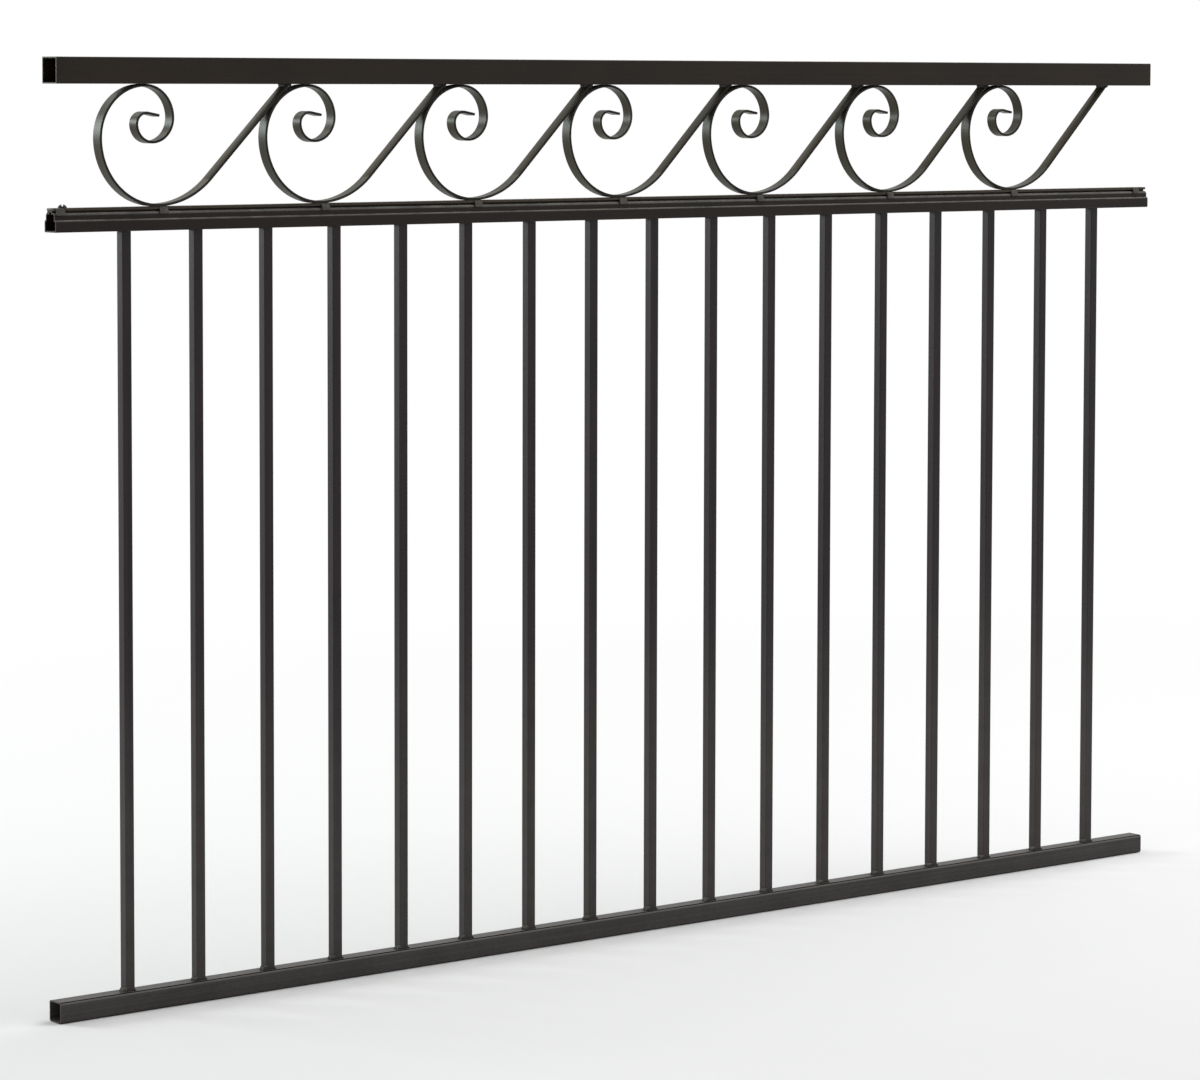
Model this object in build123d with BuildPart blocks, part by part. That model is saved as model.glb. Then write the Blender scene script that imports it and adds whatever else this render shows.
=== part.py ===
from build123d import *
import os
from math import cos, radians, sin

os.makedirs("parts", exist_ok=True)

# Driving dimensions, in millimetres.
# X runs along the panel, Y through it and Z up, with the origin on the underside of the bottom rail.

rail_length = 1828.8
rail_wall = 1.6

# Pickets: square tube, evenly spaced, with one bay more at each end of the rails
picket_pitch = 101.6
picket_size = 12.7
picket_corner = 1.2
picket_wall = 1.2
picket_length = 914.4

# Bottom rail: square tube with rounded corners and a shallow groove along each side
bottom_rail_height = 25.4
bottom_rail_depth = 25.4
bottom_rail_corner = 3.0
groove_height = 13.4
groove_width = 2.4
groove_depth = 0.3

# Middle rail: set back above a rounded ledge, with a low rib on top that carries the base strip
middle_rail_height = 25.4
middle_rail_depth = 25.4
middle_rail_corner = 1.6
ledge_height = 14.6
ledge_depth = 2.8
ledge_round = 2.6
shoulder_round = 4.2
rib_height = 2.3
rib_width = 8.0

# Top rail: square tube with crisp corners
top_rail_height = 31.75
top_rail_depth = 31.75
top_rail_corner = 1.2

# Scrolls: flat bar bent to a curl, standing on a flat strip between the two upper rails
strip_thickness = 3.2
strip_width = 15.875
scroll_zone = 146.05
scroll_inset = 64.0
bar_thickness = 3.2
bar_width = 15.875
tail_clearance = 0.2

# Radii of the bar's middle line, one for each quarter turn from the foot inwards
foot_radius = 80.3
curl_radii = [38.7, 29.1, 21.7]
eye_radius = 13.3
quarter_turn = 90.0
tip_turn = 11.0
tip_length = 16.0
tail_radius = 106.5
tail_angle = 45.0

# Levels and counts that follow from the sizes above
middle_rail_base = bottom_rail_height + picket_length
strip_base = middle_rail_base + middle_rail_height
strip_top = strip_base + strip_thickness
top_rail_base = strip_top + scroll_zone
picket_count = round(rail_length / picket_pitch) - 1

# The foot and the shoulder of a scroll fill the height between strip and top rail
shoulder_radius = scroll_zone - bar_thickness - foot_radius

# Each tail leans against the shoulder of the next scroll, which sets the distance between scrolls
lean = radians(tail_angle)
tail_start_x = tail_radius * sin(lean)
tail_start_z = tail_radius * (1 - cos(lean))
reach = shoulder_radius + bar_thickness + tail_clearance
reach_along = (reach + cos(lean) * (foot_radius - tail_start_z)) / sin(lean)
scroll_pitch = foot_radius - shoulder_radius + tail_start_x + reach_along

# The tail is drawn past the top rail's underside and trimmed there
tail_length = (scroll_zone - tail_start_z) / sin(lean)
scroll_length = foot_radius + bar_thickness + tail_start_x + tail_length * cos(lean)
scroll_count = int((rail_length - scroll_inset - scroll_length) / scroll_pitch) + 1
first_foot_x = scroll_inset + foot_radius + bar_thickness / 2 - rail_length / 2


def rail_plane(base):
    """Section plane at the left end of the rails: local x is the depth, local y the height over base."""
    return Plane((-rail_length / 2, 0, base), x_dir=(0, 1, 0), z_dir=(1, 0, 0))


# Bottom rail
with BuildPart() as bottom_rail:
    with BuildSketch(rail_plane(0)):
        with Locations((0, bottom_rail_height / 2)):
            RectangleRounded(bottom_rail_depth, bottom_rail_height, bottom_rail_corner)
        offset(amount=-rail_wall, kind=Kind.INTERSECTION, mode=Mode.SUBTRACT)
        with BuildLine():
            Polyline(
                (bottom_rail_depth / 2, groove_height - groove_width / 2),
                (bottom_rail_depth / 2 - groove_depth, groove_height),
                (bottom_rail_depth / 2, groove_height + groove_width / 2),
                close=True,
            )
            mirror(about=Plane.YZ)
        make_face(mode=Mode.SUBTRACT)
    extrude(amount=rail_length)
bottom_rail.part.label = "bottom_rail"
export_step(bottom_rail.part, "parts/bottom_rail.step")

# Pickets, standing on the bottom rail under the middle rail
for index in range(picket_count):
    picket_x = (index - (picket_count - 1) / 2) * picket_pitch
    with BuildPart() as picket:
        with BuildSketch(Plane((picket_x, 0, bottom_rail_height))):
            RectangleRounded(picket_size, picket_size, picket_corner)
            offset(amount=-picket_wall, kind=Kind.INTERSECTION, mode=Mode.SUBTRACT)
        extrude(amount=picket_length)
    picket.part.label = f"picket_{index + 1:02d}"
    export_step(picket.part, f"parts/picket_{index + 1:02d}.step")

# Middle rail, drawn as half its outline and mirrored
lower_edge = middle_rail_depth / 2
upper_edge = lower_edge - ledge_depth
shoulder_height = middle_rail_height - rib_height
with BuildPart() as middle_rail:
    with BuildSketch(rail_plane(middle_rail_base)):
        with BuildLine():
            FilletPolyline(
                (0, 0),
                (lower_edge, 0),
                (lower_edge, ledge_height),
                (upper_edge, ledge_height),
                (upper_edge, shoulder_height),
                (rib_width / 2, shoulder_height),
                (rib_width / 2, middle_rail_height),
                (0, middle_rail_height),
                radius=[middle_rail_corner, ledge_round, 0, shoulder_round, 0, 0],
            )
            mirror(about=Plane.YZ)
        make_face()
        offset(amount=-rail_wall, kind=Kind.INTERSECTION, mode=Mode.SUBTRACT)
    extrude(amount=rail_length)
middle_rail.part.label = "middle_rail"
export_step(middle_rail.part, "parts/middle_rail.step")

# Base strip, lying on the rib of the middle rail
with BuildPart() as scroll_base_strip:
    with BuildSketch(rail_plane(strip_base)):
        with Locations((0, strip_thickness / 2)):
            Rectangle(strip_width, strip_thickness)
    extrude(amount=rail_length)
scroll_base_strip.part.label = "scroll_base_strip"
export_step(scroll_base_strip.part, "parts/scroll_base_strip.step")

# Scrolls: each bar curls inwards from its foot by quarter turns, and runs up to the top rail as a tail
for index in range(scroll_count):
    foot_x = first_foot_x + index * scroll_pitch
    with BuildPart() as scroll:
        with BuildSketch(Plane((foot_x, 0, strip_top), x_dir=(1, 0, 0), z_dir=(0, -1, 0))):
            with BuildLine():
                tip_ends = []
                tail_ends = []
                for side in (bar_thickness / 2, -bar_thickness / 2):
                    foot = (0, bar_thickness / 2 - side)
                    bend = JernArc(foot, (-1, 0), foot_radius + side, -quarter_turn)
                    for radius in [shoulder_radius] + curl_radii:
                        bend = JernArc(bend @ 1, bend % 1, radius + side, -quarter_turn)
                    eye = JernArc(bend @ 1, bend % 1, eye_radius + side, -quarter_turn - tip_turn)
                    tip = PolarLine(eye @ 1, tip_length, direction=eye % 1)
                    rise = JernArc(foot, (1, 0), tail_radius + side, tail_angle)
                    tail = PolarLine(rise @ 1, tail_length, direction=rise % 1)
                    tip_ends.append(tip @ 1)
                    tail_ends.append(tail @ 1)
                Line(tip_ends[0], tip_ends[1])
                Line(tail_ends[0], tail_ends[1])
            make_face()
        extrude(amount=bar_width / 2, both=True)
        split(bisect_by=Plane.XY.offset(top_rail_base), keep=Keep.BOTTOM)
    scroll.part.label = f"scroll_{index + 1}"
    export_step(scroll.part, f"parts/scroll_{index + 1}.step")

# Top rail, over the scrolls
with BuildPart() as top_rail:
    with BuildSketch(rail_plane(top_rail_base)):
        with Locations((0, top_rail_height / 2)):
            RectangleRounded(top_rail_depth, top_rail_height, top_rail_corner)
        offset(amount=-rail_wall, kind=Kind.INTERSECTION, mode=Mode.SUBTRACT)
    extrude(amount=rail_length)
top_rail.part.label = "top_rail"
export_step(top_rail.part, "parts/top_rail.step")
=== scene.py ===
# %% [markdown]
# # A steel picket fence panel
# The panel is welded from stock steel: three tube rails, seventeen square pickets, and a row of flat bars
# bent to running scrolls. It is painted black all over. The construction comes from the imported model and
# stays as it is. This lesson gives it its finish, and adds what a welder leaves behind: beads, lumps and a
# screw.

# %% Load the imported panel
import math

import bpy
from mathutils import Matrix, Vector


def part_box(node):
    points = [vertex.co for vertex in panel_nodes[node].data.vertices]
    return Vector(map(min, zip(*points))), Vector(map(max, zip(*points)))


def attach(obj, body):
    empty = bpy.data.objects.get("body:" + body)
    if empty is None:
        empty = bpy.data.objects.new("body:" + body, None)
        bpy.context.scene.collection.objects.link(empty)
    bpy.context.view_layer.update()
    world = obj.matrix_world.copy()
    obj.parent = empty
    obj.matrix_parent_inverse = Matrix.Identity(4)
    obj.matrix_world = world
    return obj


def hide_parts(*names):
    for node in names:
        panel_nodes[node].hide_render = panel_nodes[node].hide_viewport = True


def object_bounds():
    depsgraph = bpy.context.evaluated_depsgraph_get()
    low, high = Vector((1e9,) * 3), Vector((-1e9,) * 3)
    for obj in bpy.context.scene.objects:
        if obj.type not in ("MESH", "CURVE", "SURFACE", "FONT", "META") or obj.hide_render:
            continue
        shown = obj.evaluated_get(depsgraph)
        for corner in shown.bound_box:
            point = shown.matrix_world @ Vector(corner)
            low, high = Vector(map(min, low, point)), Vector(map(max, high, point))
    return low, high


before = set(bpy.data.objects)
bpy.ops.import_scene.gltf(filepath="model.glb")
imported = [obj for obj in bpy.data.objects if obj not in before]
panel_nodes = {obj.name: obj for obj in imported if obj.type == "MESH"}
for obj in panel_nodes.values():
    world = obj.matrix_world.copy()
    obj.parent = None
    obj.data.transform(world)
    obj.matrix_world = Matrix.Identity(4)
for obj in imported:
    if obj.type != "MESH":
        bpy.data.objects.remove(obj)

cad_low, cad_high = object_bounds()
mm = 0.001
print("nodes:", len(panel_nodes), "box:", [round(side, 4) for side in cad_high - cad_low])

# %% [markdown]
# ## The camera
# The place, the turn and the focal length were fitted to the edges of the pickets and rails in the picture.
# A long lens far away keeps the pickets almost parallel. The optical centre lies above the middle of the
# picture, so that the uprights stay nearly upright, and the camera's shift does the same.

# %% Camera
photo_width = 1200
photo_height = 1080
focal_length_px = 4218.3
optical_centre_row = 360
sensor_width = 36.0
camera_place = Vector((-3.5064, -4.2715, 1.1169))
camera_yaw = math.radians(38.68)
camera_tilt = math.radians(3.76)
camera_roll = math.radians(0.128)

bpy.ops.object.select_all(action="DESELECT")
bpy.ops.object.camera_add()
camera = bpy.context.object
camera.name = "camera"
camera.data.sensor_width = sensor_width
camera.data.lens = focal_length_px / photo_width * sensor_width
camera.data.shift_y = (optical_centre_row - photo_height / 2) / photo_width
camera_turn = (
    Matrix.Rotation(-camera_yaw, 4, "Z")
    @ Matrix.Rotation(math.pi / 2 - camera_tilt, 4, "X")
    @ Matrix.Rotation(camera_roll, 4, "Z")
)
camera.matrix_world = Matrix.Translation(camera_place) @ camera_turn
bpy.context.scene.camera = camera
bpy.context.scene.view_settings.view_transform = "Standard"
print("lens:", round(camera.data.lens, 2), "mm, shift:", round(camera.data.shift_y, 3))

# %% [markdown]
# ## The studio
# Black paint shows little colour of its own. What the eye reads is the studio in it, so the light decides
# where each bar is dark and where it is pale. Four large soft boxes stand to the left, behind and overhead.
# Nothing stands in front, so the fronts stay dark. The helpers make a node with its settings and links in
# one call.

# %% Node helpers
def add_node(tree, kind, settings=None, inputs=None):
    """A node of this kind, with its settings and the values or links of its inputs."""
    node = tree.nodes.new(kind)
    for name, value in (settings or {}).items():
        setattr(node, name, value)
    for name, value in (inputs or {}).items():
        if isinstance(value, bpy.types.NodeSocket):
            tree.links.new(value, node.inputs[name])
        else:
            node.inputs[name].default_value = value
    return node


def math_node(tree, operation, first, second):
    """The result of one sum on two values or links."""
    return add_node(tree, "ShaderNodeMath", {"operation": operation}, {0: first, 1: second}).outputs[0]


def background_rays(tree):
    """1 for the rays that should see a white background: camera, glossy and transmission rays."""
    path = add_node(tree, "ShaderNodeLightPath")
    seen = math_node(tree, "MAXIMUM", path.outputs["Is Camera Ray"], path.outputs["Is Glossy Ray"])
    return math_node(tree, "MAXIMUM", seen, path.outputs["Is Transmission Ray"])


# %% [markdown]
# ### The white world
# A world could be one plain colour, but then it would also be a strong lamp. Two backgrounds are mixed by
# the kind of ray: white where it is seen or mirrored, and dimmer where it lights the panel.

# %% White world
world_fill = 0.40

world = bpy.data.worlds.new("white_studio")
world.use_nodes = True
tree = world.node_tree
tree.nodes.clear()
fill = add_node(tree, "ShaderNodeBackground", inputs={"Color": (1, 1, 1, 1), "Strength": world_fill})
white = add_node(tree, "ShaderNodeBackground", inputs={"Color": (1, 1, 1, 1), "Strength": 1.0})
chosen = add_node(
    tree,
    "ShaderNodeMixShader",
    inputs={0: background_rays(tree), 1: fill.outputs[0], 2: white.outputs[0]},
)
add_node(tree, "ShaderNodeOutputWorld", inputs={"Surface": chosen.outputs[0]})
bpy.context.scene.world = world
print("world fill:", world_fill)

# %% [markdown]
# ### Soft boxes
# A soft box is an area lamp. Its energy follows from how bright its cloth looks, so a larger box is not by
# itself a brighter one. The left one lights the left faces of the pickets, the two at the back draw the
# pale bands on the scrolls, and the overhead one lies on the upper faces of the rails.

# %% Soft boxes
panel_middle = (cad_low + cad_high) / 2
cool_white = (0.90, 1.0, 0.985)
warm_white = (1.0, 0.96, 0.82)


def soft_box(name, place, width, height, brightness, tint=(1, 1, 1)):
    """A lamp that faces the panel. Its brightness is that of its cloth, where 1 is white."""
    bpy.ops.object.select_all(action="DESELECT")
    bpy.ops.object.light_add(type="AREA", location=place)
    lamp = bpy.context.object
    lamp.name = name
    lamp.data.shape = "RECTANGLE"
    lamp.data.size = width
    lamp.data.size_y = height
    lamp.data.energy = brightness * math.pi * width * height
    lamp.data.color = tint
    lamp.rotation_euler = (panel_middle - Vector(place)).to_track_quat("-Z", "Y").to_euler()
    lamp.visible_camera = False
    print(name, "energy:", round(lamp.data.energy, 1))


soft_box("left_soft_box", (-9.0, -0.6, 2.2), width=4.2, height=4.2, brightness=3.2)
soft_box("back_left_soft_box", (-3.4, 4.5, 2.1), width=2.0, height=1.6, brightness=13.5, tint=cool_white)
soft_box("back_soft_box", (-0.8, 4.6, 4.3), width=2.0, height=2.0, brightness=1.8, tint=warm_white)
soft_box("overhead_soft_box", (3.1, -0.5, 4.8), width=5.0, height=4.0, brightness=3.2)

# %% [markdown]
# ## The floor
# The floor is a plain pale sheet. Close to the panel it is lit by the lamps, so it keeps the soft shadow.
# Further out it turns to the white of the background, by the distance from the panel, so that no horizon
# shows.

# %% Floor
floor_size = 60.0
floor_drop = 0.5 * mm
floor_grey = 0.91
shadow_reach = (2.0, 1.5)
fade_start = 0.4
fade_end = 2.2

bpy.ops.object.select_all(action="DESELECT")
bpy.ops.mesh.primitive_plane_add(size=floor_size, location=(0, 0, cad_low.z - floor_drop))
floor = bpy.context.object
floor.name = "floor"

floor_finish = bpy.data.materials.new("pale_floor")
floor_finish.use_nodes = True
tree = floor_finish.node_tree
tree.nodes.clear()
place = add_node(tree, "ShaderNodeTexCoord")
reach = (1 / shadow_reach[0], 1 / shadow_reach[1], 1)
near = add_node(tree, "ShaderNodeMapping", inputs={"Vector": place.outputs["Object"], "Scale": reach})
distance = add_node(tree, "ShaderNodeVectorMath", {"operation": "LENGTH"}, {0: near.outputs[0]})
fade = add_node(
    tree,
    "ShaderNodeMapRange",
    {"interpolation_type": "SMOOTHSTEP"},
    {"Value": distance.outputs["Value"], "From Min": fade_start, "From Max": fade_end},
)
share = math_node(tree, "MULTIPLY", fade.outputs["Result"], background_rays(tree))
sheet = add_node(tree, "ShaderNodeBsdfDiffuse", inputs={"Color": (floor_grey, floor_grey, floor_grey, 1)})
glow = add_node(tree, "ShaderNodeEmission", inputs={"Color": (1, 1, 1, 1), "Strength": 1.0})
mixed = add_node(tree, "ShaderNodeMixShader", inputs={0: share, 1: sheet.outputs[0], 2: glow.outputs[0]})
add_node(tree, "ShaderNodeOutputMaterial", inputs={"Surface": mixed.outputs[0]})
floor.data.materials.append(floor_finish)
print("floor at", round(floor.location.z, 5))

# %% [markdown]
# ## What the paint has in common
# Every piece went through the same spray line and then stood outdoors, so the marks of the paint are shared,
# and so is the light and shade that some of the groups paint into the colour. Each mark could be drawn anew
# in every material. Here it is a node group, built once, and each finish places it with its own values. A
# group puts out only colours, masks and values, so that the finish can still be baked.

# %% Group helpers
FLOAT = "NodeSocketFloat"
COLOUR = "NodeSocketColor"
VECTOR = "NodeSocketVector"
patch_roughness = 0.55


def new_group(name, inputs, outputs):
    """An empty shader node group with named sockets, and its input and output nodes."""
    group = bpy.data.node_groups.new(name, "ShaderNodeTree")
    for socket, kind in inputs.items():
        group.interface.new_socket(name=socket, in_out="INPUT", socket_type=kind)
    for socket, kind in outputs.items():
        group.interface.new_socket(name=socket, in_out="OUTPUT", socket_type=kind)
    return group, group.nodes.new("NodeGroupInput"), group.nodes.new("NodeGroupOutput")


def noise(tree, vector, scale, detail):
    """Noise between about 0.3 and 0.7. Scale is in patches per metre."""
    values = {"Vector": vector, "Scale": scale, "Detail": detail, "Roughness": patch_roughness}
    return add_node(tree, "ShaderNodeTexNoise", inputs=values).outputs["Fac"]


def spread(tree, value, low, high, to_low=0.0, to_high=1.0):
    """Stretches the range from low to high smoothly over the range from to_low to to_high."""
    values = {"Value": value, "From Min": low, "From Max": high, "To Min": to_low, "To Max": to_high}
    node = add_node(tree, "ShaderNodeMapRange", {"interpolation_type": "SMOOTHSTEP"}, values)
    return node.outputs["Result"]


def weighed(tree, first, second, first_share):
    """The sum of two values: the first by its share, and the second by the rest."""
    first_part = math_node(tree, "MULTIPLY", first, first_share)
    second_part = math_node(tree, "MULTIPLY", second, 1 - first_share)
    return math_node(tree, "ADD", first_part, second_part)


def facing(tree):
    """The way that the surface faces, as X, Y and Z."""
    surface = add_node(tree, "ShaderNodeNewGeometry")
    return add_node(tree, "ShaderNodeSeparateXYZ", inputs={0: surface.outputs["Normal"]}).outputs


def blend_colour(tree, share, first, second):
    """The first colour turning to the second by the share."""
    node = add_node(tree, "ShaderNodeMix", {"data_type": "RGBA"})
    for socket, value in ((0, share), (6, first), (7, second)):
        if isinstance(value, bpy.types.NodeSocket):
            tree.links.new(value, node.inputs[socket])
        else:
            node.inputs[socket].default_value = value
    return node.outputs[2]


# %% [markdown]
# ### The paint film
# A sprayed coat is thicker in some places than in others. Broad clouds and a fine grain change its colour,
# and the fine orange peel of the spray changes its shine and its height.

# %% Paint film group
cloud_scale = 11.0
grain_scale = 260.0
peel_scale = 560.0
spray_scale = 2400.0
cloud_share = 0.6
grain_share = 0.5
peel_share = 0.85

film_group, taken, given = new_group(
    "paint_film",
    {"Vector": VECTOR, "Deep Colour": COLOUR, "Thin Colour": COLOUR, "Smoothest": FLOAT, "Roughest": FLOAT},
    {"Colour": COLOUR, "Roughness": FLOAT, "Peel": FLOAT},
)
spot = taken.outputs["Vector"]
clouds = noise(film_group, spot, cloud_scale, detail=4.0)
grain = noise(film_group, spot, grain_scale, detail=3.0)
peel = noise(film_group, spot, peel_scale, detail=1.0)
spray = noise(film_group, spot, spray_scale, detail=2.0)
thinness = spread(film_group, weighed(film_group, clouds, grain, cloud_share), low=0.38, high=0.62)
colour = blend_colour(film_group, thinness, taken.outputs["Deep Colour"], taken.outputs["Thin Colour"])
shine = add_node(
    film_group,
    "ShaderNodeMapRange",
    inputs={
        "Value": weighed(film_group, grain, spray, grain_share),
        "From Min": 0.35,
        "From Max": 0.65,
        "To Min": taken.outputs["Smoothest"],
        "To Max": taken.outputs["Roughest"],
    },
)
film_group.links.new(colour, given.inputs["Colour"])
film_group.links.new(shine.outputs["Result"], given.inputs["Roughness"])
film_group.links.new(weighed(film_group, peel, spray, peel_share), given.inputs["Peel"])
print("group", film_group.name, "nodes:", len(film_group.nodes))

# %% [markdown]
# ### Rolling lines
# Tube and bar are rolled, which leaves long faint lines in the steel. A noise that is stretched along the
# bar gives them. The stretch is an input, because pickets stand and rails lie.

# %% Rolling lines group
lines_group, taken, given = new_group(
    "rolling_lines", {"Vector": VECTOR, "Stretch": VECTOR}, {"Lines": FLOAT}
)
stretched = add_node(
    lines_group,
    "ShaderNodeVectorMath",
    {"operation": "MULTIPLY"},
    {0: taken.outputs["Vector"], 1: taken.outputs["Stretch"]},
)
streaks = noise(lines_group, stretched.outputs["Vector"], scale=1.0, detail=3.0)
lines_group.links.new(spread(lines_group, streaks, low=0.40, high=0.68), given.inputs["Lines"])
print("group", lines_group.name, "nodes:", len(lines_group.nodes))

# %% [markdown]
# ### Thin edges
# Paint draws back from a sharp edge and leaves a thin, browner film there. A Bevel node rounds the normal
# near an edge, so where it differs from the true normal, an edge is close. A noise breaks the line up.

# %% Thin edges group
edge_samples = 6

edges_group, taken, given = new_group("thin_edges", {"Vector": VECTOR, "Width": FLOAT}, {"Mask": FLOAT})
rounded = add_node(
    edges_group, "ShaderNodeBevel", {"samples": edge_samples}, {"Radius": taken.outputs["Width"]}
)
surface = add_node(edges_group, "ShaderNodeNewGeometry")
likeness = add_node(
    edges_group,
    "ShaderNodeVectorMath",
    {"operation": "DOT_PRODUCT"},
    {0: rounded.outputs["Normal"], 1: surface.outputs["Normal"]},
)
bend = math_node(edges_group, "SUBTRACT", 1.0, likeness.outputs["Value"])
flecks = noise(edges_group, taken.outputs["Vector"], scale=90.0, detail=5.0)
breaks = spread(edges_group, flecks, low=0.36, high=0.64)
mask = math_node(edges_group, "MULTIPLY", spread(edges_group, bend, low=0.01, high=0.2), breaks)
edges_group.links.new(mask, given.inputs["Mask"])
print("group", edges_group.name, "nodes:", len(edges_group.nodes))

# %% [markdown]
# ### Dust and painted highlight
# A pale colour lies on what faces up. With a small share it is settled dust, and with a large share it is
# also a painted highlight on the upward faces. The upward part of the normal finds those faces, and a noise
# makes the pale colour patchy.

# %% Dust and painted highlight group
dust_and_highlight_group, taken, given = new_group("dust_and_painted_highlight", {"Vector": VECTOR}, {"Mask": FLOAT})
upward = spread(dust_and_highlight_group, facing(dust_and_highlight_group)["Z"], low=0.12, high=0.75)
flecks = noise(dust_and_highlight_group, taken.outputs["Vector"], scale=38.0, detail=6.0)
patches = spread(dust_and_highlight_group, flecks, low=0.25, high=0.7, to_low=0.35, to_high=1.0)
dust_and_highlight_group.links.new(math_node(dust_and_highlight_group, "MULTIPLY", upward, patches), given.inputs["Mask"])
print("group", dust_and_highlight_group.name, "nodes:", len(dust_and_highlight_group.nodes))

# %% [markdown]
# ### Painted floor light
# The pickets are painted lighter towards their feet: painted light, as the pale floor throws up onto them.
# The height over the ground sets how much: all of it below the first level, and none above the second.

# %% Painted floor light group
floor_light_full = 0.14
floor_light_none = 0.50

floor_light_group, taken, given = new_group("painted_floor_light", {"Vector": VECTOR}, {"Mask": FLOAT})
spot = add_node(floor_light_group, "ShaderNodeSeparateXYZ", inputs={0: taken.outputs["Vector"]})
level = spot.outputs["Z"]
low_down = spread(floor_light_group, level, floor_light_full, floor_light_none, to_low=1.0, to_high=0.0)
flecks = noise(floor_light_group, taken.outputs["Vector"], scale=45.0, detail=5.0)
light_breakup = spread(floor_light_group, flecks, low=0.25, high=0.7, to_low=0.8, to_high=1.1)
floor_light_group.links.new(math_node(floor_light_group, "MULTIPLY", low_down, light_breakup), given.inputs["Mask"])
print("group", floor_light_group.name, "nodes:", len(floor_light_group.nodes))

# %% [markdown]
# ### Painted reflection lines
# The upper rounding of the bottom rail is painted with two lines: a painted dark reflection near the top, and
# a pale painted highlight below it. Both follow the bend, so the upward part of the normal finds them.

# %% Painted reflection lines group
reflection_lines_group, taken, given = new_group(
    "painted_reflection_lines", {"Vector": VECTOR}, {"Dark Reflection": FLOAT, "Highlight": FLOAT}
)
upward = facing(reflection_lines_group)["Z"]
upper_bend = spread(reflection_lines_group, upward, low=0.66, high=0.80)
not_top = spread(reflection_lines_group, upward, low=0.975, high=0.998, to_low=1.0, to_high=0.0)
lower_bend = spread(reflection_lines_group, upward, low=0.01, high=0.16)
not_upper = spread(reflection_lines_group, upward, low=0.60, high=0.72, to_low=1.0, to_high=0.0)
flecks = noise(reflection_lines_group, taken.outputs["Vector"], scale=30.0, detail=4.0)
highlight_breakup = spread(reflection_lines_group, flecks, low=0.25, high=0.65, to_low=0.7, to_high=1.0)
reflection_lines_group.links.new(math_node(reflection_lines_group, "MULTIPLY", upper_bend, not_top), given.inputs["Dark Reflection"])
highlight_band = math_node(reflection_lines_group, "MULTIPLY", lower_bend, not_upper)
reflection_lines_group.links.new(math_node(reflection_lines_group, "MULTIPLY", highlight_band, highlight_breakup), given.inputs["Highlight"])
print("group", reflection_lines_group.name, "nodes:", len(reflection_lines_group.nodes))

# %% [markdown]
# ### Painted side shade
# The narrow sides of a scroll's bar are painted darker than its broad faces. This is painted shade on the
# faces that look to the front and the back, and the part of the normal through the panel finds them.

# %% Painted side shade group
side_shade_group, taken, given = new_group("painted_side_shade", {"Vector": VECTOR}, {"Mask": FLOAT})
through = math_node(side_shade_group, "POWER", facing(side_shade_group)["Y"], 2.0)
sideways = spread(side_shade_group, through, low=0.45, high=0.9)
flecks = noise(side_shade_group, taken.outputs["Vector"], scale=60.0, detail=4.0)
side_breakup = spread(side_shade_group, flecks, low=0.25, high=0.6, to_low=0.7, to_high=1.0)
side_shade_group.links.new(math_node(side_shade_group, "MULTIPLY", sideways, side_breakup), given.inputs["Mask"])
print("group", side_shade_group.name, "nodes:", len(side_shade_group.nodes))

# %% [markdown]
# ### Painted crevice shade
# Where two bars almost touch, little light gets in, so there the colour is painted nearly black and the shine
# dulled: painted shade. An Ambient Occlusion node with a short reach finds those places.

# %% Painted crevice shade group
gap_reach = 3.5 * mm
gap_samples = 8

crevice_shade_group, taken, given = new_group("painted_crevice_shade", {"Vector": VECTOR}, {"Mask": FLOAT})
openness = add_node(
    crevice_shade_group, "ShaderNodeAmbientOcclusion", {"samples": gap_samples}, {"Distance": gap_reach}
)
closed = math_node(crevice_shade_group, "SUBTRACT", 1.0, openness.outputs["AO"])
flecks = noise(crevice_shade_group, taken.outputs["Vector"], scale=220.0, detail=3.0)
shade_breakup = spread(crevice_shade_group, flecks, low=0.25, high=0.6, to_low=0.75, to_high=1.0)
mask = math_node(crevice_shade_group, "MULTIPLY", spread(crevice_shade_group, closed, low=0.45, high=0.80), shade_breakup)
crevice_shade_group.links.new(mask, given.inputs["Mask"])
print("group", crevice_shade_group.name, "nodes:", len(crevice_shade_group.nodes))

# %% [markdown]
# ## The black paint
# The paint is a semi-gloss black with a warm, slightly olive cast. One function builds every finish from
# the groups above. Rails, pickets, flat bars, welds and the screw each get their own, because the steel
# under the paint differs: tube is rolled along its length, the flat bar is stretched where it bends, and a
# weld is rough.

# %% Paint finish
paint_specular = 0.2
peel_strength = 0.35
edge_width = 1.2 * mm
line_lightening = 2.2
dust_dulling = 0.5
thin_edge_colour = (0.060, 0.046, 0.032, 1)
# The pale colour of dust, also used for painted highlights and painted floor light.
dust_and_light_colour = (0.20, 0.19, 0.17, 1)
# Nearly black, for painted shade in crevices and for the painted dark reflection line.
painted_dark_colour = (0.0015, 0.0010, 0.0010, 1)


def place_group(tree, group, spot, values=None):
    """The outputs of a group that is placed in a finish, with its own values."""
    return add_node(tree, "ShaderNodeGroup", {"node_tree": group}, {"Vector": spot, **(values or {})}).outputs


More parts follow.
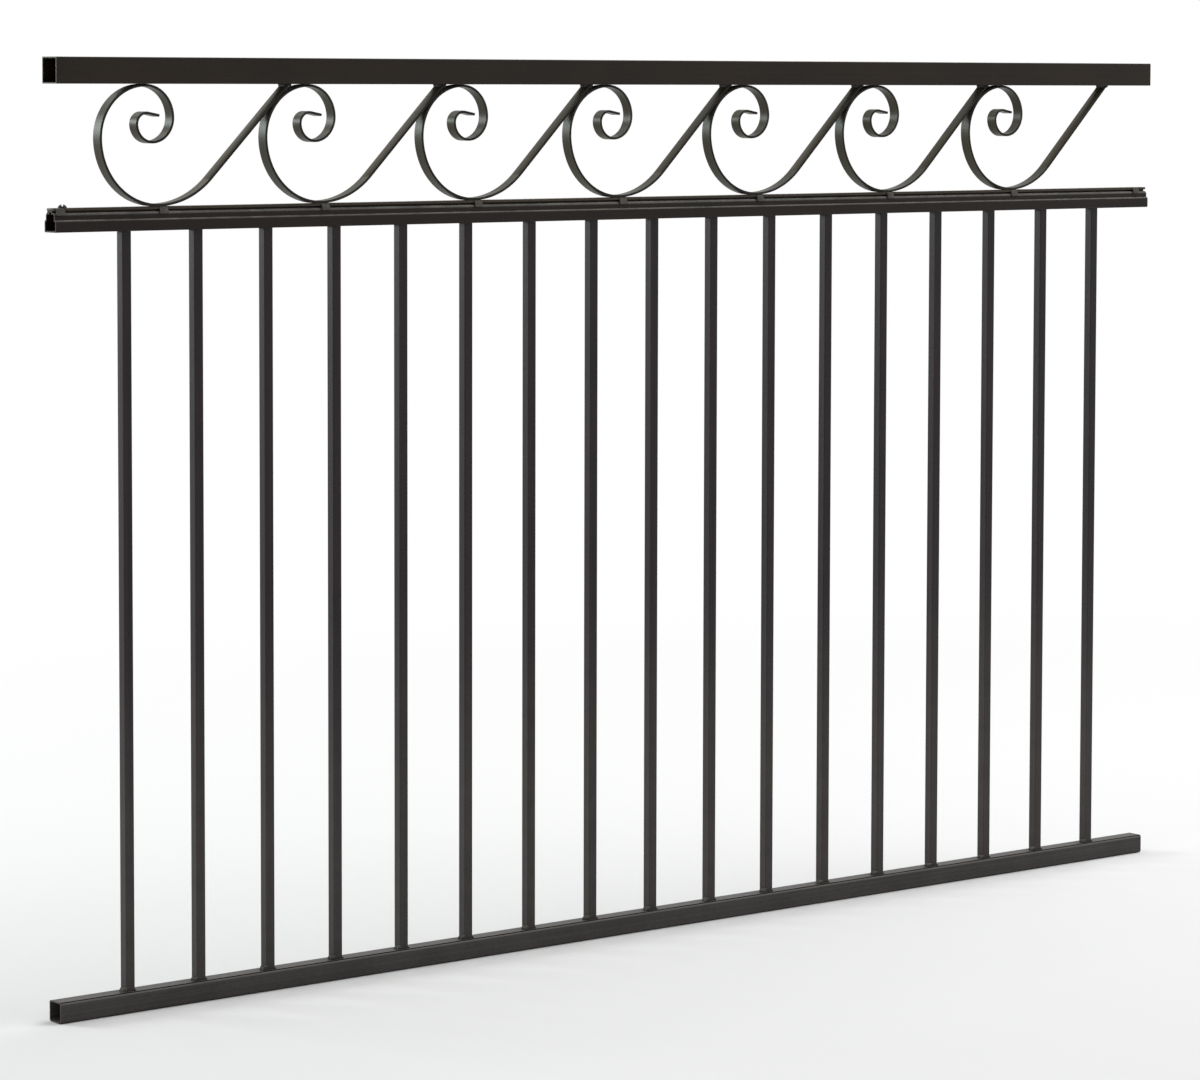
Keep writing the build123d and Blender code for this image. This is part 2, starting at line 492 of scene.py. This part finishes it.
def black_paint(
    name,
    deep,
    thin,
    gloss,
    stretch,
    line_share,
    edge_share,
    dust_and_highlight_share,
    peel_depth,
    side_shade_colour=None,
    floor_light_share=0,
    highlight_share=0,
):
    """A black paint. Gloss is the smoothest and the roughest value, and stretch sets the rolling lines.

    Each share says how much of a mark shows: rolling lines, thin edges, dust with painted highlight, painted
    floor light and the painted highlight line. The side shade colour, if any, is painted shade on the faces
    that look to the front and the back."""
    finish = bpy.data.materials.new(name)
    finish.use_nodes = True
    tree = finish.node_tree
    tree.nodes.clear()
    spot = add_node(tree, "ShaderNodeTexCoord").outputs["Object"]
    film_values = {
        "Deep Colour": (*deep, 1),
        "Thin Colour": (*thin, 1),
        "Smoothest": gloss[0],
        "Roughest": gloss[1],
    }
    film = place_group(tree, film_group, spot, film_values)
    lines = place_group(tree, lines_group, spot, {"Stretch": stretch})["Lines"]
    edges = place_group(tree, edges_group, spot, {"Width": edge_width})["Mask"]
    dust_and_highlight = place_group(tree, dust_and_highlight_group, spot)["Mask"]
    gaps = place_group(tree, crevice_shade_group, spot)["Mask"]

    lined = math_node(tree, "MULTIPLY", lines, line_share)
    worn = math_node(tree, "MULTIPLY", edges, edge_share)
    dust_and_highlight_amount = math_node(tree, "MULTIPLY", dust_and_highlight, dust_and_highlight_share)
    line_colour = (*[line_lightening * part for part in thin], 1)
    colour = blend_colour(tree, lined, film["Colour"], line_colour)
    # Painted shade: faces that look to the front and the back are painted darker.
    if side_shade_colour:
        sides = place_group(tree, side_shade_group, spot)["Mask"]
        colour = blend_colour(tree, sides, colour, (*side_shade_colour, 1))
    colour = blend_colour(tree, worn, colour, thin_edge_colour)
    # Pale colour on upward faces: settled dust, and a painted highlight where the share is large.
    colour = blend_colour(tree, dust_and_highlight_amount, colour, dust_and_light_colour)
    # Painted floor light: the colour turns paler towards the ground.
    if floor_light_share:
        floor_light = place_group(tree, floor_light_group, spot)["Mask"]
        floor_lit_amount = math_node(tree, "MULTIPLY", floor_light, floor_light_share)
        colour = blend_colour(tree, floor_lit_amount, colour, dust_and_light_colour)
    # Painted crevice shade: where bars almost touch, the colour turns nearly black.
    colour = blend_colour(tree, gaps, colour, painted_dark_colour)
    dulling = math_node(tree, "MULTIPLY", dust_and_highlight_amount, dust_dulling)
    dull = math_node(tree, "ADD", film["Roughness"], dulling)
    dull = math_node(tree, "ADD", dull, gaps)
    # Painted reflection lines: a painted dark line and a pale painted highlight along the rounding.
    if highlight_share:
        reflection_lines = place_group(tree, reflection_lines_group, spot)
        highlight_amount = math_node(tree, "MULTIPLY", reflection_lines["Highlight"], highlight_share)
        colour = blend_colour(tree, reflection_lines["Dark Reflection"], colour, painted_dark_colour)
        colour = blend_colour(tree, highlight_amount, colour, dust_and_light_colour)
        dull = math_node(tree, "ADD", dull, reflection_lines["Dark Reflection"])
    bump = add_node(
        tree,
        "ShaderNodeBump",
        inputs={"Strength": peel_strength, "Distance": peel_depth, "Height": film["Peel"]},
    )
    shader = add_node(
        tree,
        "ShaderNodeBsdfPrincipled",
        inputs={"Base Color": colour, "Roughness": dull, "Normal": bump.outputs["Normal"]},
    )
    shader.inputs["Specular IOR Level"].default_value = paint_specular
    add_node(tree, "ShaderNodeOutputMaterial", inputs={"Surface": shader.outputs[0]})
    print(name, "nodes:", len(tree.nodes))
    return finish


# %% [markdown]
# ### The rails' paints
# The top rail is nearly clean. The middle rail is darker, and its upward faces, such as the ledge, take the
# full pale colour of dust and painted highlight. The bottom rail is paler, partly from dust and partly from
# painted light of the floor, and its upper rounding has painted reflection lines. So the three rails have
# three finishes, all with lines along the rail.

# %% Rail paints
rail_paint = black_paint(
    "rail_paint",
    deep=(0.0075, 0.0040, 0.0015),
    thin=(0.0125, 0.0072, 0.0030),
    gloss=(0.34, 0.46),
    stretch=(1.2, 300, 300),
    line_share=0.25,
    edge_share=0.5,
    dust_and_highlight_share=0.10,
    peel_depth=0.10 * mm,
)
middle_rail_paint = black_paint(
    "middle_rail_paint",
    deep=(0.0045, 0.0020, 0.0010),
    thin=(0.0080, 0.0040, 0.0020),
    gloss=(0.34, 0.46),
    stretch=(1.2, 300, 300),
    line_share=0.25,
    edge_share=0.5,
    # The full share makes the upward faces, such as the ledge, pale.
    dust_and_highlight_share=1.0,
    peel_depth=0.10 * mm,
)
# Its paler colours are partly dust and partly painted light from the floor.
bottom_rail_paint = black_paint(
    "bottom_rail_paint",
    deep=(0.036, 0.0315, 0.0300),
    thin=(0.049, 0.0445, 0.0420),
    gloss=(0.36, 0.50),
    stretch=(1.2, 300, 300),
    line_share=0.15,
    edge_share=0.5,
    dust_and_highlight_share=0.18,
    peel_depth=0.10 * mm,
    # The painted highlight line on the upper rounding.
    highlight_share=0.46,
)

# %% [markdown]
# ### The pickets' paint
# The pickets are glossier than the rails. Their lines stand upright, and painted floor light makes them
# lighter towards their feet.

# %% Picket paint
picket_paint = black_paint(
    "picket_paint",
    deep=(0.0114, 0.0077, 0.0086),
    thin=(0.0167, 0.0117, 0.0128),
    gloss=(0.30, 0.40),
    stretch=(300, 300, 1.2),
    line_share=0.30,
    edge_share=0.5,
    dust_and_highlight_share=0.10,
    peel_depth=0.10 * mm,
    # Painted floor light towards the feet.
    floor_light_share=0.135,
)

# %% [markdown]
# ### The flat bars' paints
# The scrolls have an even shine, so that the light runs along them in clean bands, and their narrow sides are
# painted darker: painted shade.
# The strip under them is browner and keeps lines along its length.

# %% Flat bar paints
scroll_paint = black_paint(
    "scroll_paint",
    deep=(0.016, 0.0135, 0.0040),
    thin=(0.025, 0.0215, 0.0075),
    gloss=(0.378, 0.382),
    stretch=(4, 420, 4),
    line_share=0.30,
    edge_share=0.3,
    dust_and_highlight_share=0.08,
    peel_depth=0.015 * mm,
    # Painted shade on the narrow sides.
    side_shade_colour=(0.0060, 0.0035, 0.0030),
)
strip_paint = black_paint(
    "strip_paint",
    deep=(0.026, 0.0190, 0.0120),
    thin=(0.040, 0.0300, 0.0200),
    gloss=(0.34, 0.46),
    stretch=(1.2, 420, 420),
    line_share=0.30,
    edge_share=0.6,
    dust_and_highlight_share=0.10,
    peel_depth=0.08 * mm,
)

# %% [markdown]
# ### Paints of the welds and the screw
# Paint lies wet and glossy on a small bead, and a large share of the pale dust colour paints a highlight on
# its upward faces. On a lump it is duller, and its paler colour is painted light. The screw is the darkest of
# the three.

# %% Weld and screw paints
bead_paint = black_paint(
    "bead_paint",
    deep=(0.020, 0.0170, 0.0155),
    thin=(0.037, 0.0330, 0.0300),
    gloss=(0.20, 0.34),
    stretch=(160, 160, 160),
    line_share=0.30,
    edge_share=0.4,
    # The large share paints a highlight on the bead's upward faces.
    dust_and_highlight_share=0.55,
    peel_depth=0.20 * mm,
)
# The lump's paler colours are painted light.
lump_paint = black_paint(
    "lump_paint",
    deep=(0.030, 0.0270, 0.0220),
    thin=(0.047, 0.0435, 0.0360),
    gloss=(0.34, 0.52),
    stretch=(160, 160, 160),
    line_share=0.30,
    edge_share=0.4,
    dust_and_highlight_share=0.10,
    peel_depth=0.20 * mm,
)
screw_paint = black_paint(
    "screw_paint",
    deep=(0.0060, 0.0030, 0.0026),
    thin=(0.0110, 0.0060, 0.0050),
    gloss=(0.30, 0.45),
    stretch=(200, 200, 200),
    line_share=0.25,
    edge_share=0.5,
    dust_and_highlight_share=0.05,
    peel_depth=0.06 * mm,
)

# %% [markdown]
# ## Paint on the rails and pickets
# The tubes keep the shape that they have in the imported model. They only get a new finish in their material
# slot.

# %% Rails and pickets
rail_names = ["bottom_rail", "middle_rail", "top_rail"]
strip_name = "scroll_base_strip"
picket_names = sorted(name for name in panel_nodes if name.startswith("picket_"))
scroll_names = sorted(name for name in panel_nodes if name.startswith("scroll_") and name != strip_name)

rail_finish = {"bottom_rail": bottom_rail_paint, "middle_rail": middle_rail_paint, "top_rail": rail_paint}
for name in rail_names:
    panel_nodes[name].material_slots[0].material = rail_finish[name]
for name in picket_names:
    panel_nodes[name].material_slots[0].material = picket_paint
print("painted:", len(rail_names), "rails and", len(picket_names), "pickets")
print("scrolls to come:", len(scroll_names))

# %% [markdown]
# ## Hand tools
# These small helpers do what a modeller does with the mouse: pick one object, apply a modifier, cut along a
# plane and close the cut, copy a piece to another place, and finish a piece so that it belongs to the
# panel.

# %% Hand tools
seam_gap = 0.001 * mm


def take(piece):
    """Makes one object the only selected one."""
    bpy.ops.object.select_all(action="DESELECT")
    piece.select_set(True)
    bpy.context.view_layer.objects.active = piece


def apply_modifier(piece, kind, **settings):
    """Adds a modifier with these settings and applies it."""
    take(piece)
    bpy.ops.object.modifier_add(type=kind)
    modifier = piece.modifiers[-1]
    for name, value in settings.items():
        setattr(modifier, name, value)
    bpy.ops.object.modifier_apply(modifier=modifier.name)


def cut_off(piece, point, side):
    """Cuts the piece along a plane, drops what lies on that side, and closes the cut."""
    take(piece)
    bpy.ops.object.mode_set(mode="EDIT")
    bpy.ops.mesh.select_all(action="SELECT")
    bpy.ops.mesh.bisect(plane_co=point, plane_no=side, use_fill=True, clear_outer=True)
    bpy.ops.object.mode_set(mode="OBJECT")


def copy_to(piece, shift):
    """A copy of the piece with its own mesh, moved by the shift."""
    take(piece)
    bpy.ops.object.duplicate(linked=False)
    bpy.ops.transform.translate(value=shift)
    bpy.ops.object.transform_apply(location=True, rotation=True, scale=True)
    return bpy.context.object


def join_pieces(pieces):
    """Joins pieces into the first one."""
    take(pieces[0])
    for piece in pieces:
        piece.select_set(True)
    bpy.ops.object.join()
    return pieces[0]


def finish_piece(piece, name, paint, smooth_angle=50):
    """Names, smooths and paints a piece, and lets it ride with the panel."""
    take(piece)
    bpy.ops.object.transform_apply(location=True, rotation=True, scale=True)
    bpy.ops.object.mode_set(mode="EDIT")
    bpy.ops.mesh.select_all(action="SELECT")
    bpy.ops.mesh.remove_doubles(threshold=seam_gap)
    bpy.ops.mesh.normals_make_consistent(inside=False)
    bpy.ops.object.mode_set(mode="OBJECT")
    bpy.ops.object.shade_smooth_by_angle(angle=math.radians(smooth_angle))
    piece.name = name
    piece.data.name = name
    piece.data.materials.clear()
    piece.data.materials.append(paint)
    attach(piece, "root")


# %% [markdown]
# ## Scroll bars and strip with eased edges
# Rolled flat bar has no knife edges. Its corners are eased by about half a millimetre, and that thin
# rounding is what draws a light line along the bar. A copy of each node is merged, its flat triangles are
# dissolved, and a bevel rounds the sharp edges. The copy then stands for the node.

# %% Eased bars
bar_easing = 0.45 * mm
bar_seam_gap = 0.002 * mm
flat_angle = math.radians(0.2)
sharp_angle = math.radians(40)
bar_smooth_angle = 30


def eased_copy(name):
    """A copy of a flat bar's node with eased edges, which stands for the node."""
    node = panel_nodes[name]
    piece = bpy.data.objects.new(name + "_bar", node.data.copy())
    bpy.context.scene.collection.objects.link(piece)
    take(piece)
    bpy.ops.object.mode_set(mode="EDIT")
    bpy.ops.mesh.select_all(action="SELECT")
    bpy.ops.mesh.customdata_custom_splitnormals_clear()
    bpy.ops.mesh.remove_doubles(threshold=bar_seam_gap)
    bpy.ops.mesh.dissolve_limited(angle_limit=flat_angle)
    bpy.ops.object.mode_set(mode="OBJECT")
    apply_modifier(
        piece,
        "BEVEL",
        width=bar_easing,
        segments=2,
        limit_method="ANGLE",
        angle_limit=sharp_angle,
        harden_normals=True,
    )
    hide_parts(name)
    return piece


for name in scroll_names + [strip_name]:
    bar = eased_copy(name)
    bar_paint = strip_paint if name == strip_name else scroll_paint
    finish_piece(bar, bar.name, bar_paint, bar_smooth_angle)
    print(bar.name, "faces:", len(bar.data.polygons))

# %% [markdown]
# ## A weld bead
# A weld is molten steel that froze in drops. A row of small balls, run together into one skin and smoothed,
# has that look. The bead is made once at the origin. Each copy is moved to its place, roughened there by a
# noise that differs from place to place, and cut off just inside the two faces that it joins.

# %% Bead
bead_drops = 4
drop_radius = 2.8 * mm
drop_pitch = 3.1 * mm
seat_depth = 0.15 * mm
bead_voxel = 0.38 * mm
bead_roughness = 1.3 * mm
ripple_size = 2.0 * mm

bpy.ops.object.select_all(action="DESELECT")
drops = []
for index in range(bead_drops):
    along = (index - (bead_drops - 1) / 2) * drop_pitch
    bpy.ops.mesh.primitive_ico_sphere_add(subdivisions=3, radius=drop_radius, location=(0, along, 0))
    drops.append(bpy.context.object)
bead = join_pieces(drops)
bead.name = "bead_pattern"
take(bead)
bpy.ops.object.transform_apply(location=True, rotation=True, scale=True)
apply_modifier(bead, "REMESH", mode="VOXEL", voxel_size=bead_voxel)
apply_modifier(bead, "SMOOTH", factor=0.5, iterations=3)

ripple = bpy.data.textures.new("weld_ripple", "CLOUDS")
ripple.noise_scale = ripple_size
ripple.noise_depth = 2


def roughen(piece, strength):
    """Moves the skin in and out by a noise that stays in its place as the piece is copied about."""
    apply_modifier(
        piece, "DISPLACE", texture=ripple, texture_coords="GLOBAL", strength=strength, mid_level=0.5
    )


def weld_bead(centre, cuts, roughness=bead_roughness, growth=1.0, length=1.0):
    """A bead at its centre, thickened by its growth, stretched by its length, roughened and cut off."""
    piece = copy_to(bead, centre)
    bpy.ops.transform.resize(value=(growth, length, growth), center_override=centre)
    bpy.ops.object.transform_apply(location=True, rotation=True, scale=True)
    roughen(piece, roughness)
    for point, side in cuts:
        cut_off(piece, point, side)
    return piece


print("bead faces:", len(bead.data.polygons))

# %% [markdown]
# ## Welds at the picket feet
# Each picket stands on the bottom rail and is welded on its left and its right side. The left bead is a
# short thick lump near the front corner. The right one is a thin run from the front of the picket to its
# back.

# %% Picket welds
rail_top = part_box("bottom_rail")[1].z
bead_offset = 0.5 * mm
left_growth = (1.85, 1.60, 1.95, 1.70, 1.50)
right_growth = (0.55, 0.70, 0.50, 0.62)
left_length = 0.70
left_forward = 3.2 * mm

for index, name in enumerate(picket_names):
    low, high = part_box(name)
    sides = (
        (low.x, -1, left_forward, left_growth[index % len(left_growth)], left_length),
        (high.x, 1, 0, right_growth[index % len(right_growth)], 1.0),
    )
    beads = []
    for side_x, outward, forward, growth, length in sides:
        centre = (side_x + outward * bead_offset, -forward, rail_top + bead_offset)
        cuts = [
            ((side_x - outward * seat_depth, 0, 0), (-outward, 0, 0)),
            ((0, 0, rail_top - seat_depth), (0, 0, -1)),
        ]
        beads.append(weld_bead(centre, cuts, growth=growth, length=length))
    finish_piece(join_pieces(beads), name.replace("picket", "picket_weld"), bead_paint)
print("picket welds:", len(picket_names), "pairs")

# %% [markdown]
# ## Welds under the top rail
# The straight tail of a scroll leans up to the top rail. The narrow corner on its left is filled by a bead,
# and a smaller one closes the wide corner on its right. The bead is cut off along the rail's underside and
# along the slanted face of the tail.

# %% Tail welds
top_rail_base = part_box("top_rail")[0].z
tail_lean = math.radians(45)
bar_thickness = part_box("scroll_base_strip")[1].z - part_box("scroll_base_strip")[0].z
tail_cut_width = bar_thickness / math.sin(tail_lean)
tail_face = Vector((-math.sin(tail_lean), 0, math.cos(tail_lean)))
left_bead_shift = Vector((-2.2, 0, -0.9)) * mm
right_bead_shift = Vector((0.2, 0, -0.3)) * mm
right_bead_roughness = 0.6 * mm

for name in scroll_names:
    tail_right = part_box(name)[1].x
    under_rail = ((0, 0, top_rail_base + seat_depth), (0, 0, 1))
    left_corner = Vector((tail_right - tail_cut_width, 0, top_rail_base))
    right_corner = Vector((tail_right, 0, top_rail_base))
    left_cuts = [under_rail, (left_corner - tail_face * seat_depth, -tail_face)]
    right_cuts = [under_rail, (right_corner + tail_face * seat_depth, tail_face)]
    left_bead = weld_bead(left_corner + left_bead_shift, left_cuts)
    right_bead = weld_bead(right_corner + right_bead_shift, right_cuts, right_bead_roughness)
    finish_piece(join_pieces([left_bead, right_bead]), name + "_tail_weld", bead_paint)
print("tail welds:", len(scroll_names), "pairs")

# %% [markdown]
# ## Welds at the scroll feet
# Under the foot of each scroll, a lump of weld ties the strip to the middle rail, across the dark gap
# between them. It is a block with a flat, sloping front and rounded corners, a little wider at the bottom.
# A cube is sloped by moving its top face, widened by scaling its bottom face, bevelled and subdivided.

# %% Foot lump
strip_low, strip_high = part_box("scroll_base_strip")
lump_width = 11.6 * mm
lump_height = 8.6 * mm
lump_thickness = 1.9 * mm
lump_slope = 3.5 * mm
lump_flare = 1.12
lump_forward = 3.6 * mm
lump_below_strip_top = 0.2 * mm
lump_rounding = 0.7 * mm
lump_corner_angle = math.radians(30)
lump_bottom_y = strip_low.y - lump_forward
lump_bottom_z = strip_high.z - lump_below_strip_top - lump_height
face_likeness = 0.9

bpy.ops.object.select_all(action="DESELECT")
bpy.ops.mesh.primitive_cube_add(
    size=1,
    location=(0, lump_bottom_y, lump_bottom_z + lump_height / 2),
    scale=(lump_width, lump_thickness, lump_height),
)
lump = bpy.context.object
lump.name = "lump_pattern"
bpy.ops.object.transform_apply(location=True, rotation=True, scale=True)


def select_faces(piece, direction):
    """Selects the faces that point in this direction, and leaves edit mode on."""
    take(piece)
    bpy.ops.object.mode_set(mode="EDIT")
    bpy.ops.mesh.select_mode(type="FACE")
    bpy.ops.mesh.select_all(action="DESELECT")
    bpy.ops.object.mode_set(mode="OBJECT")
    for face in piece.data.polygons:
        face.select = face.normal.dot(Vector(direction)) > face_likeness
    bpy.ops.object.mode_set(mode="EDIT")


select_faces(lump, (0, 0, 1))
bpy.ops.transform.translate(value=(0, lump_slope, 0))
bpy.ops.object.mode_set(mode="OBJECT")
select_faces(lump, (0, 0, -1))
bpy.ops.transform.resize(value=(lump_flare, 1, 1))
bpy.ops.object.mode_set(mode="OBJECT")
apply_modifier(
    lump, "BEVEL", width=lump_rounding, segments=2, limit_method="ANGLE", angle_limit=lump_corner_angle
)
apply_modifier(lump, "SUBSURF", levels=2, render_levels=2)
print("lump faces:", len(lump.data.polygons))

# %% [markdown]
# ### Lumps along the strip
# Each scroll stands on its lowest point, so the lump is placed from there, a little to the right. A
# mirrored copy goes on the back. The noise that roughens the beads also makes every lump a little
# different.

# %% Foot welds
foot_lump_shift = 6.0 * mm
lump_roughness = 0.8 * mm


def weld_lump(place_x, back=False):
    """A lump at this place along the strip, on its front or its back."""
    piece = copy_to(lump, (place_x, 0, 0))
    if back:
        bpy.ops.transform.resize(value=(1, -1, 1), center_override=(place_x, 0, 0))
        bpy.ops.object.transform_apply(location=True, rotation=True, scale=True)
    roughen(piece, lump_roughness)
    return piece


for name in scroll_names:
    foot_x = min(panel_nodes[name].data.vertices, key=lambda corner: corner.co.z).co.x
    lumps = [weld_lump(foot_x + foot_lump_shift), weld_lump(foot_x + foot_lump_shift, back=True)]
    finish_piece(join_pieces(lumps), name + "_foot_weld", lump_paint)
print("foot welds:", len(scroll_names), "pairs")

# %% [markdown]
# ## Welds at the ends of the strip
# The strip is held at each end by the same lump of weld, close to the end of the rail. The lumps sit at the
# places that the picture shows, so the two distances from the ends differ.

# %% End welds
left_lump_inset = 8.3 * mm
right_lump_inset = 21.4 * mm
end_lumps = (
    ("left", strip_low.x + left_lump_inset),
    ("right", strip_high.x - right_lump_inset),
)

for side, end_x in end_lumps:
    lumps = [weld_lump(end_x), weld_lump(end_x, back=True)]
    finish_piece(join_pieces(lumps), "strip_end_weld_" + side, lump_paint)
    print("strip_end_weld_" + side, "at x:", round(end_x, 4))

# %% [markdown]
# ## The dome screw
# The left end of the strip also has a screw with a slotted dome head. The head could be turned from a
# profile. A ball that is cut off flat is quicker, and a thin block then takes the slot out of it.

# %% Dome screw
screw_inset = 16.6 * mm
dome_width = 11.5 * mm
dome_height = 4.5 * mm
slot_width = 2.6 * mm
slot_depth = 2.6 * mm
slot_turn = math.radians(-38)
slot_easing = 0.15 * mm
slot_corner_angle = math.radians(35)
dome_segments = 48
dome_rings = 32
dome_smooth_angle = 35
dome_radius = (dome_width**2 / 4 + dome_height**2) / (2 * dome_height)
screw_x = strip_low.x + screw_inset

bpy.ops.object.select_all(action="DESELECT")
bpy.ops.mesh.primitive_uv_sphere_add(
    segments=dome_segments,
    ring_count=dome_rings,
    radius=dome_radius,
    location=(screw_x, 0, strip_high.z + dome_height - dome_radius),
)
screw = bpy.context.object
bpy.ops.object.transform_apply(location=True, rotation=True, scale=True)
cut_off(screw, (0, 0, strip_high.z - seat_depth), (0, 0, -1))
bpy.ops.object.select_all(action="DESELECT")
bpy.ops.mesh.primitive_cube_add(
    size=1,
    location=(screw_x, 0, strip_high.z + dome_height),
    rotation=(0, 0, slot_turn),
    scale=(slot_width, 2 * dome_width, 2 * slot_depth),
)
slot_cutter = bpy.context.object
apply_modifier(screw, "BOOLEAN", operation="DIFFERENCE", object=slot_cutter, solver="EXACT")
bpy.data.objects.remove(slot_cutter)
apply_modifier(
    screw, "BEVEL", width=slot_easing, segments=2, limit_method="ANGLE", angle_limit=slot_corner_angle
)
finish_piece(screw, "dome_screw", screw_paint, dome_smooth_angle)
print("dome screw faces:", len(screw.data.polygons))

# %% [markdown]
# ## Put the patterns away
# The two patterns have done their work.

# %% Put the patterns away
for pattern in (bead, lump):
    bpy.data.objects.remove(pattern)
